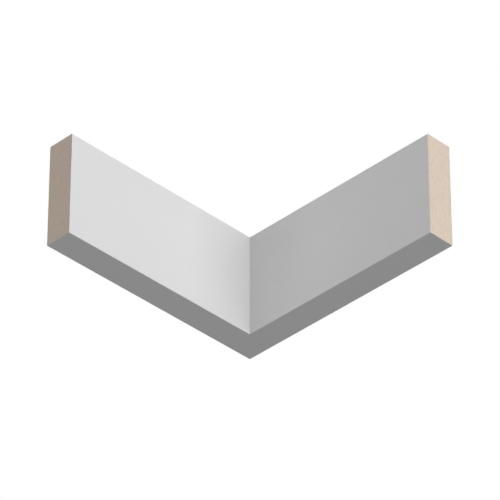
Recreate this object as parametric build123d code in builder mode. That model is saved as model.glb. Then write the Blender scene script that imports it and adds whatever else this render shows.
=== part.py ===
from build123d import *
import os
from math import cos, radians, sin

# Square-edged moulding carried round the inside corner of a room, in millimetres.
# Two lengths of one fibreboard section are mitred and glued, with their backs to the two walls.
# The origin is the foot of the line where the walls meet. +Z is up, the right length runs along
# +X with its back on the XZ plane, and the left length leaves the same line at the corner angle.

# Driving dimensions
face_height = 95.0
thickness = 25.0
left_leg = 221.0  # along the wall, from the corner to the sawn end
right_leg = 221.0
corner_angle = 90.0  # between the two walls, in degrees
arris_radius = 0.5  # ease on the two long edges that face the room

# Directions in plan, worked out from the corner angle
walls = radians(corner_angle)
left_along = Vector(cos(walls), -sin(walls), 0)
left_to_room = Vector(sin(walls), cos(walls), 0)
right_along = Vector(1, 0, 0)
right_to_room = Vector(0, -1, 0)

# The mitre plane stands on the wall corner and halves the angle between the walls.
# Its normal points towards the right length.
mitre_plane = Plane(origin=(0, 0, 0), x_dir=(0, 0, 1), z_dir=right_along - left_along)

# Section shared by both lengths: X runs from the wall into the room, Y runs up
with BuildSketch() as section:
    Rectangle(thickness, face_height, align=Align.MIN)
    fillet(section.vertices().group_by(Axis.X)[-1], radius=arris_radius)

# Right length: the section stands at the sawn end and runs back to the corner
right_end = Plane(origin=right_along * right_leg, x_dir=right_to_room, z_dir=-right_along)
with BuildPart() as right_length:
    with BuildSketch(right_end):
        add(section.sketch)
    extrude(amount=right_leg)
    split(bisect_by=mitre_plane, keep=Keep.TOP)

# Left length: the section stands at the corner and runs out to the sawn end
left_start = Plane(origin=(0, 0, 0), x_dir=left_to_room, z_dir=left_along)
with BuildPart() as left_length:
    with BuildSketch(left_start):
        add(section.sketch)
    extrude(amount=left_leg)
    split(bisect_by=mitre_plane, keep=Keep.BOTTOM)

os.makedirs("parts", exist_ok=True)
right_length.part.label = "right_length"
left_length.part.label = "left_length"
export_step(right_length.part, "parts/right_length.step")
export_step(left_length.part, "parts/left_length.step")
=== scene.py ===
import math

import bpy
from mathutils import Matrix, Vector


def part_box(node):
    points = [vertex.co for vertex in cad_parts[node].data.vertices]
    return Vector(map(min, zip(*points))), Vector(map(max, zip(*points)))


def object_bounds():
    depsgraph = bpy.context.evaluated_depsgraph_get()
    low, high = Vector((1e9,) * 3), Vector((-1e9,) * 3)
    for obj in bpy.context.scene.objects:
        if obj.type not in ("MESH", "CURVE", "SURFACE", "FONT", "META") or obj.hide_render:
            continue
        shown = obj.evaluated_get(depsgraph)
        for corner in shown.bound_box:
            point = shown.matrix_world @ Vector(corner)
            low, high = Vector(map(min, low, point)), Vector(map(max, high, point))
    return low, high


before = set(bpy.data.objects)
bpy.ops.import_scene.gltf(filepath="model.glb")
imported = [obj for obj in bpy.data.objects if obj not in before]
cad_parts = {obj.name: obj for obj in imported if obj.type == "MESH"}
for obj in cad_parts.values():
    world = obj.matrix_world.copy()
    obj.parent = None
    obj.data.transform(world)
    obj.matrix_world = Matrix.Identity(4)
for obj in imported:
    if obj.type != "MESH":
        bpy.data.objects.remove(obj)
cad_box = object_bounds()


# The two lengths of moulding.
# Square-edged fibreboard stock, run on a moulder and primed white on its face and edges, then cut on a
# mitre saw and glued round the corner. The saw leaves the ends bare, and the backs were never coated.

def linear(hex_colour):
    """An sRGB hex colour as linear red, green, blue and alpha."""
    channels = [int(hex_colour[i:i + 2], 16) / 255 for i in (1, 3, 5)]
    return [c / 12.92 if c <= 0.04045 else ((c + 0.055) / 1.055) ** 2.4 for c in channels] + [1.0]


def add_node(tree, kind, inputs, **settings):
    """Adds one shader node: settings are its attributes, inputs are values or the sockets that feed it."""
    node = tree.nodes.new("ShaderNode" + kind)
    for name, value in settings.items():
        setattr(node, name, value)
    for socket, value in inputs.items():
        if isinstance(value, bpy.types.NodeSocket):
            tree.links.new(value, node.inputs[socket])
        else:
            node.inputs[socket].default_value = value
    return node.outputs


MM = 1000  # millimetres in a metre
right_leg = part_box("right_length")[1].x * MM
left_leg = -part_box("left_length")[0].y * MM
face_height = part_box("right_length")[1].z * MM
thickness = -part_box("right_length")[0].y * MM

primed_mdf = bpy.data.materials.new("primed_mdf")
primed_mdf.use_nodes = True
tree = primed_mdf.node_tree
tree.nodes.clear()

# Places on the stock itself, in millimetres: along the leg from the corner, out from the wall, and up.
# The left leg is moved on along the stick, so that the two legs have different stretches of its pattern,
# and the pattern starts off the even millimetres, where noise goes flat in squares.
pattern_start = (13.7, 31.3, 57.9)
left_shift = 2 * right_leg
in_metres = add_node(tree, "TexCoord", {})["Object"]
in_mm = add_node(tree, "VectorMath", {0: in_metres, "Scale": MM}, operation="SCALE")[0]
x, y, up = add_node(tree, "SeparateXYZ", {0: in_mm})
minus_y = add_node(tree, "Math", {0: y, 1: -1.0}, operation="MULTIPLY")[0]
along = add_node(tree, "Math", {0: x, 1: minus_y}, operation="MAXIMUM")[0]
from_wall = add_node(tree, "Math", {0: x, 1: minus_y}, operation="MINIMUM")[0]
on_left = add_node(tree, "Math", {0: minus_y, 1: x}, operation="GREATER_THAN")[0]
along_stick = add_node(tree, "Math", {0: on_left, 1: left_shift, 2: along}, operation="MULTIPLY_ADD")[0]
on_stick = add_node(tree, "CombineXYZ", {0: along_stick, 1: from_wall, 2: up})[0]
stick = add_node(tree, "VectorMath", {0: on_stick, 1: pattern_start}, operation="ADD")[0]
to_front = add_node(tree, "Math", {0: thickness, 1: from_wall}, operation="SUBTRACT")[0]
to_top = add_node(tree, "Math", {0: face_height, 1: up}, operation="SUBTRACT")[0]
to_long_edge = add_node(tree, "Math", {0: up, 1: to_top}, operation="MINIMUM")[0]

# Acrylic primer on MDF: sprayed and rolled, so it is an even, matt off-white with a faint orange peel, and
# the sanding under it shows as hair-fine lines along the length. Typical IOR 1.5, roughness 0.5 to 0.6.
primer_white = "#E7E7E7"
primer_shade = "#E3E3E3"
primer_smooth = 0.52
primer_dry = 0.58
mottle_size = 70.0  # slow drift of the coat from thick to thin
orange_peel = 2.4  # size of one dimple
orange_peel_depth = 0.13  # a real coat's is about 0.03, too shallow to show
sanding_pitch = 1.4  # between the lines left by the sander; real ones are about 0.3, too fine to show
sanding_run = 60.0
sanding_depth = 0.035
mottle = add_node(tree, "TexNoise", {"Vector": stick, "Scale": 1 / mottle_size, "Detail": 3.0})[0]
primer_colour = add_node(tree, "Mix", {
    0: mottle, 6: linear(primer_white), 7: linear(primer_shade)}, data_type="RGBA")[2]
primer_roughness = add_node(tree, "Mix", {0: mottle, 2: primer_smooth, 3: primer_dry})[0]
dimples = add_node(tree, "TexNoise", {"Vector": stick, "Scale": 1 / orange_peel, "Detail": 1.0})[0]
sanding_stretch = (1 / sanding_run, 1 / sanding_pitch, 1 / sanding_pitch)
sanding_place = add_node(tree, "VectorMath", {0: stick, 1: sanding_stretch}, operation="MULTIPLY")[0]
sanding = add_node(tree, "TexNoise", {"Vector": sanding_place, "Scale": 1.0, "Detail": 2.0})[0]
peel_height = add_node(tree, "Math", {0: dimples, 1: orange_peel_depth}, operation="MULTIPLY")[0]
primer_height = add_node(tree, "Math", {
    0: sanding, 1: sanding_depth, 2: peel_height}, operation="MULTIPLY_ADD")[0]

# Sawn MDF: cut across the board, so it is a dry, pale tan felt of wood fibre lying along the board's faces,
# denser and darker next to them, with darker shives and the saw's shallow arcs. Roughness 0.8 to 0.9.
# Here and on the back, a shade is how far a mark goes from the tan to the dark, and from and full are the
# levels of its noise at which it begins and is all there.
sawn_tan = "#E1D1C1"
sawn_dark = "#CAB6A1"
sawn_roughness = 0.86
fibre_width = 0.9  # real fibre is under 0.1 across, so the flecks are drawn as coarse as one pixel
fibre_length = 2.6
fibre_depth = 0.04
fleck_shade = 0.4
fleck_from = 0.3
fleck_full = 0.7
shive_width = 1.1
shive_length = 4.5
shive_shade = 0.6
shive_from = 0.62
shive_full = 0.75
dense_skin = 3.0  # depth of the denser board under each pressed face
skin_shade = 0.16
saw_radius = 127.0
saw_pitch = 1.7  # between one tooth's arc and the next
saw_depth = 0.02
saw_shade = 0.05
saw_patch = 15.0  # the arcs come and go over patches about this wide, as the teeth bite more or less
saw_bite_from = 0.4
saw_bite_full = 0.65
fibre_stretch = (1 / fibre_width, 1 / fibre_width, 1 / fibre_length)
fibre_place = add_node(tree, "VectorMath", {0: stick, 1: fibre_stretch}, operation="MULTIPLY")[0]
fibres = add_node(tree, "TexNoise", {"Vector": fibre_place, "Scale": 1.0, "Detail": 2.0})[0]
flecks = add_node(tree, "MapRange", {0: fibres, 1: fleck_from, 2: fleck_full, 3: 0.0, 4: fleck_shade})[0]
shive_stretch = (1 / shive_width, 1 / shive_width, 1 / shive_length)
shive_place = add_node(tree, "VectorMath", {0: stick, 1: shive_stretch}, operation="MULTIPLY")[0]
shive_field = add_node(tree, "TexNoise", {"Vector": shive_place, "Scale": 1.0, "Detail": 1.0})[0]
shives = add_node(tree, "MapRange", {
    0: shive_field, 1: shive_from, 2: shive_full, 3: 0.0, 4: shive_shade})[0]
to_face = add_node(tree, "Math", {0: to_front, 1: from_wall}, operation="MINIMUM")[0]
skin = add_node(tree, "MapRange", {
    0: to_face, 1: 0.0, 2: dense_skin, 3: skin_shade, 4: 0.0}, interpolation_type="SMOOTHSTEP")[0]
saw_centre = (0.0, thickness / 2, face_height / 2 - saw_radius)
across_cut = add_node(tree, "CombineXYZ", {1: from_wall, 2: up})[0]
saw_reach = add_node(tree, "VectorMath", {0: across_cut, 1: saw_centre}, operation="DISTANCE")["Value"]
saw_turn = add_node(tree, "Math", {0: saw_reach, 1: 2 * math.pi / saw_pitch}, operation="MULTIPLY")[0]
saw_wave = add_node(tree, "Math", {0: saw_turn}, operation="SINE")[0]
saw_patches = add_node(tree, "TexNoise", {"Vector": stick, "Scale": 1 / saw_patch, "Detail": 1.0})[0]
saw_bite = add_node(tree, "MapRange", {0: saw_patches, 1: saw_bite_from, 2: saw_bite_full})[0]
saw_marks = add_node(tree, "Math", {0: saw_wave, 1: saw_bite}, operation="MULTIPLY")[0]
sawn_shade = add_node(tree, "Math", {0: flecks, 1: shives}, operation="ADD")[0]
sawn_shade = add_node(tree, "Math", {0: sawn_shade, 1: skin}, operation="ADD")[0]
sawn_shade = add_node(tree, "Math", {0: saw_marks, 1: saw_shade, 2: sawn_shade}, operation="MULTIPLY_ADD")[0]
sawn_colour = add_node(tree, "Mix", {
    0: sawn_shade, 6: linear(sawn_tan), 7: linear(sawn_dark)}, data_type="RGBA")[2]
fibre_height = add_node(tree, "Math", {0: fibres, 1: fibre_depth}, operation="MULTIPLY")[0]
sawn_height = add_node(tree, "Math", {
    0: saw_marks, 1: saw_depth, 2: fibre_height}, operation="MULTIPLY_ADD")[0]

# Sanded MDF back: the board's pressed face, belt-sanded to thickness, so it is a close tan felt with soft
# clouds of darker fibre, a few specks of bark and faint lines along the length. Roughness 0.7 to 0.8.
back_tan = "#DCCBB7"
back_dark = "#BCA68C"
back_roughness = 0.78
cloud_size = 16.0
cloud_shade = 0.45
clump_size = 1.3  # fibre clumps, drawn as coarse as the flecks of the sawn end
clump_shade = 0.4
clump_depth = 0.006
belt_pitch = 1.6  # as coarse as it needs to show; a real belt's grit leaves about 0.2
belt_run = 140.0
belt_shade = 0.25
belt_depth = 0.008
bark_size = 3.0
bark_shade = 0.6
bark_from = 0.68
bark_full = 0.78
clouds = add_node(tree, "TexNoise", {"Vector": stick, "Scale": 1 / cloud_size, "Detail": 3.0})[0]
clumps = add_node(tree, "TexNoise", {"Vector": stick, "Scale": 1 / clump_size, "Detail": 1.0})[0]
belt_stretch = (1 / belt_run, 1 / belt_pitch, 1 / belt_pitch)
belt_place = add_node(tree, "VectorMath", {0: stick, 1: belt_stretch}, operation="MULTIPLY")[0]
belt = add_node(tree, "TexNoise", {"Vector": belt_place, "Scale": 1.0, "Detail": 2.0})[0]
bark_field = add_node(tree, "TexNoise", {"Vector": stick, "Scale": 1 / bark_size, "Detail": 2.0})[0]
bark = add_node(tree, "MapRange", {0: bark_field, 1: bark_from, 2: bark_full, 3: 0.0, 4: bark_shade})[0]
back_shade = add_node(tree, "Math", {0: clouds, 1: cloud_shade, 2: bark}, operation="MULTIPLY_ADD")[0]
back_shade = add_node(tree, "Math", {0: clumps, 1: clump_shade, 2: back_shade}, operation="MULTIPLY_ADD")[0]
back_shade = add_node(tree, "Math", {0: belt, 1: belt_shade, 2: back_shade}, operation="MULTIPLY_ADD")[0]
back_colour = add_node(tree, "Mix", {
    0: back_shade, 6: linear(back_tan), 7: linear(back_dark)}, data_type="RGBA")[2]
clump_height = add_node(tree, "Math", {0: clumps, 1: clump_depth}, operation="MULTIPLY")[0]
back_height = add_node(tree, "Math", {0: belt, 1: belt_depth, 2: clump_height}, operation="MULTIPLY_ADD")[0]

# Where the board is bare: the sawn end inside the cut edge of the film, and the back inside the ragged
# fringe of primer that the spray threw round the long edges.
face_level = 0.05  # a place this near the end or the wall is on that face
film_edge = 0.1  # thickness of the film, seen edge on round a sawn end
spray_reach = 2.2  # mean width of the fringe; its noise averages a half
end_step = left_leg - right_leg
leg_end = add_node(tree, "Math", {0: on_left, 1: end_step, 2: right_leg}, operation="MULTIPLY_ADD")[0]
to_end = add_node(tree, "Math", {0: leg_end, 1: along}, operation="SUBTRACT")[0]
sawn_end = add_node(tree, "Math", {0: to_end, 1: face_level}, operation="LESS_THAN")[0]
to_film = add_node(tree, "Math", {0: to_front, 1: to_long_edge}, operation="MINIMUM")[0]
inside_film = add_node(tree, "Math", {0: to_film, 1: film_edge}, operation="GREATER_THAN")[0]
bare_end = add_node(tree, "Math", {0: sawn_end, 1: inside_film}, operation="MULTIPLY")[0]
back_face = add_node(tree, "Math", {0: from_wall, 1: face_level}, operation="LESS_THAN")[0]
spatter = add_node(tree, "TexNoise", {"Vector": stick, "Scale": 1 / spray_reach, "Detail": 4.0})[0]
fringe = add_node(tree, "Math", {0: spatter, 1: 2 * spray_reach}, operation="MULTIPLY")[0]
inside_fringe = add_node(tree, "MapRange", {
    0: to_long_edge, 1: 0.0, 2: fringe, 3: 0.0, 4: 1.0}, interpolation_type="SMOOTHSTEP")[0]
bare_back = add_node(tree, "Math", {0: back_face, 1: inside_fringe}, operation="MULTIPLY")[0]

# The finishes together: the primer, then the bare back, then the bare end.
binder_ior = 1.5  # of the acrylic film, and of the resin that binds the board
colour = add_node(tree, "Mix", {0: bare_back, 6: primer_colour, 7: back_colour}, data_type="RGBA")[2]
colour = add_node(tree, "Mix", {0: bare_end, 6: colour, 7: sawn_colour}, data_type="RGBA")[2]
roughness = add_node(tree, "Mix", {0: bare_back, 2: primer_roughness, 3: back_roughness})[0]
roughness = add_node(tree, "Mix", {0: bare_end, 2: roughness, 3: sawn_roughness})[0]
height = add_node(tree, "Mix", {0: bare_back, 2: primer_height, 3: back_height})[0]
height = add_node(tree, "Mix", {0: bare_end, 2: height, 3: sawn_height})[0]
relief = add_node(tree, "Bump", {"Height": height, "Distance": 1 / MM, "Strength": 1.0})[0]
surface = add_node(tree, "BsdfPrincipled", {
    "Base Color": colour, "Roughness": roughness, "IOR": binder_ior, "Normal": relief})[0]
add_node(tree, "OutputMaterial", {"Surface": surface})

for name in ("left_length", "right_length"):
    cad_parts[name].material_slots[0].material = primed_mdf


# The floor.
# A plain sheet of white paper just under the moulding. The photograph looks up at the underside, so the
# sheet shows only from above. It takes the moulding's shadow, and further off fades into the white of the
# studio. Sizes from here on are in metres.

floor_reach = 15.0
floor_gap = 0.0002
floor_white = "#F4F4F3"
fade_near = 0.3  # from the middle of the moulding
fade_far = 1.3
glow_near = 0.1  # share of plain white in the paper beside the moulding
glow_far = 1.0
centre = (cad_box[0] + cad_box[1]) / 2
sides = ((-1, -1), (1, -1), (1, 1), (-1, 1))
floor_mesh = bpy.data.meshes.new("floor")
floor_mesh.from_pydata(
    [(across * floor_reach, out * floor_reach, -floor_gap) for across, out in sides], [], [(0, 1, 2, 3)])
floor = bpy.data.objects.new("floor", floor_mesh)
bpy.context.scene.collection.objects.link(floor)
# The sheet gives the moulding no light and no shade, because nothing lies under it in the photograph.
floor.visible_diffuse = False
floor.visible_glossy = False
floor.visible_transmission = False
floor.visible_shadow = False

backdrop_paper = bpy.data.materials.new("backdrop_paper")
backdrop_paper.use_nodes = True
tree = backdrop_paper.node_tree
tree.nodes.clear()
geometry = add_node(tree, "NewGeometry", {})
ray = add_node(tree, "LightPath", {})
reach = add_node(tree, "VectorMath", {0: geometry["Position"], 1: centre}, operation="DISTANCE")["Value"]
glow_share = add_node(tree, "MapRange", {
    0: reach, 1: fade_near, 2: fade_far, 3: glow_near, 4: glow_far}, interpolation_type="SMOOTHSTEP")[0]
paper = add_node(tree, "BsdfDiffuse", {"Color": linear(floor_white)})[0]
glow = add_node(tree, "Emission", {"Strength": ray["Is Camera Ray"]})[0]
lit_paper = add_node(tree, "MixShader", {0: glow_share, 1: paper, 2: glow})[0]
unseen = add_node(tree, "BsdfTransparent", {})[0]
sheet = add_node(tree, "MixShader", {0: geometry["Backfacing"], 1: lit_paper, 2: unseen})[0]
add_node(tree, "OutputMaterial", {"Surface": sheet})
floor_mesh.materials.append(backdrop_paper)


# The studio light.
# Large soft boxes: a key out along the right length, a weaker fill out along the left one, one overhead and
# one behind, in a dim even room. A level is how bright a lamp makes a white card that faces it.

soft_boxes = [
    # name, azimuth, elevation, distance, width, level
    ("key", 90.3, -2.0, 2.5, 1.73, 0.764),
    ("fill", -10.7, -2.6, 5.0, 2.04, 0.197),
    ("top", 45.0, 88.0, 5.0, 4.0, 0.45),
    ("behind", 231.0, 27.0, 4.0, 1.6, 0.75),
]
for name, azimuth, elevation, distance, width, level in soft_boxes:
    turn = math.radians(azimuth)
    tilt = math.radians(elevation)
    towards = Vector((math.sin(turn) * math.cos(tilt), -math.cos(turn) * math.cos(tilt), math.sin(tilt)))
    lamp = bpy.data.lights.new(name, "AREA")
    lamp.size = width
    lamp.energy = level * (math.pi * distance) ** 2
    box = bpy.data.objects.new(name, lamp)
    box.location = centre + towards * distance
    box.rotation_euler = towards.to_track_quat("Z", "Y").to_euler()
    box.visible_camera = False
    # Reflected in the top edge, the box behind would burn it out.
    box.visible_glossy = name != "behind"
    bpy.context.scene.collection.objects.link(box)

# The room is plain white to the camera and in reflections, and as a light it is dim.
room = 0.197
studio = bpy.data.worlds.new("studio")
bpy.context.scene.world = studio
studio.use_nodes = True
tree = studio.node_tree
tree.nodes.clear()
ray = add_node(tree, "LightPath", {})
seen = add_node(tree, "Math", {0: ray["Is Camera Ray"], 1: ray["Is Glossy Ray"]}, operation="MAXIMUM")[0]
seen = add_node(tree, "Math", {0: seen, 1: ray["Is Transmission Ray"]}, operation="MAXIMUM")[0]
strength = add_node(tree, "Mix", {0: seen, 2: room, 3: 1.0})[0]
background = add_node(tree, "Background", {"Color": (1.0, 1.0, 1.0, 1.0), "Strength": strength})[0]
add_node(tree, "OutputWorld", {"Surface": background})
bpy.context.scene.view_settings.view_transform = "Standard"


# The camera.
# A long lens below the moulding, looking up into the inside corner along the line that halves it.

camera_azimuth = math.radians(45.0)
camera_elevation = math.radians(-35.511)
camera_distance = 3.4119
camera_lens = 305.12  # millimetres, as is the sensor
camera_sensor = 36.0
aim_height = 0.08221
aim_right = 0.00017
to_right = Vector((math.cos(camera_azimuth), math.sin(camera_azimuth), 0.0))
to_camera = Vector((
    math.sin(camera_azimuth) * math.cos(camera_elevation),
    -math.cos(camera_azimuth) * math.cos(camera_elevation),
    math.sin(camera_elevation)))
aim = Vector((thickness / MM, -thickness / MM, aim_height)) + to_right * aim_right
lens = bpy.data.cameras.new("camera")
lens.lens = camera_lens
lens.sensor_width = camera_sensor
camera = bpy.data.objects.new("camera", lens)
camera.location = aim + to_camera * camera_distance
camera.rotation_euler = to_camera.to_track_quat("Z", "Y").to_euler()
bpy.context.scene.collection.objects.link(camera)
bpy.context.scene.camera = camera
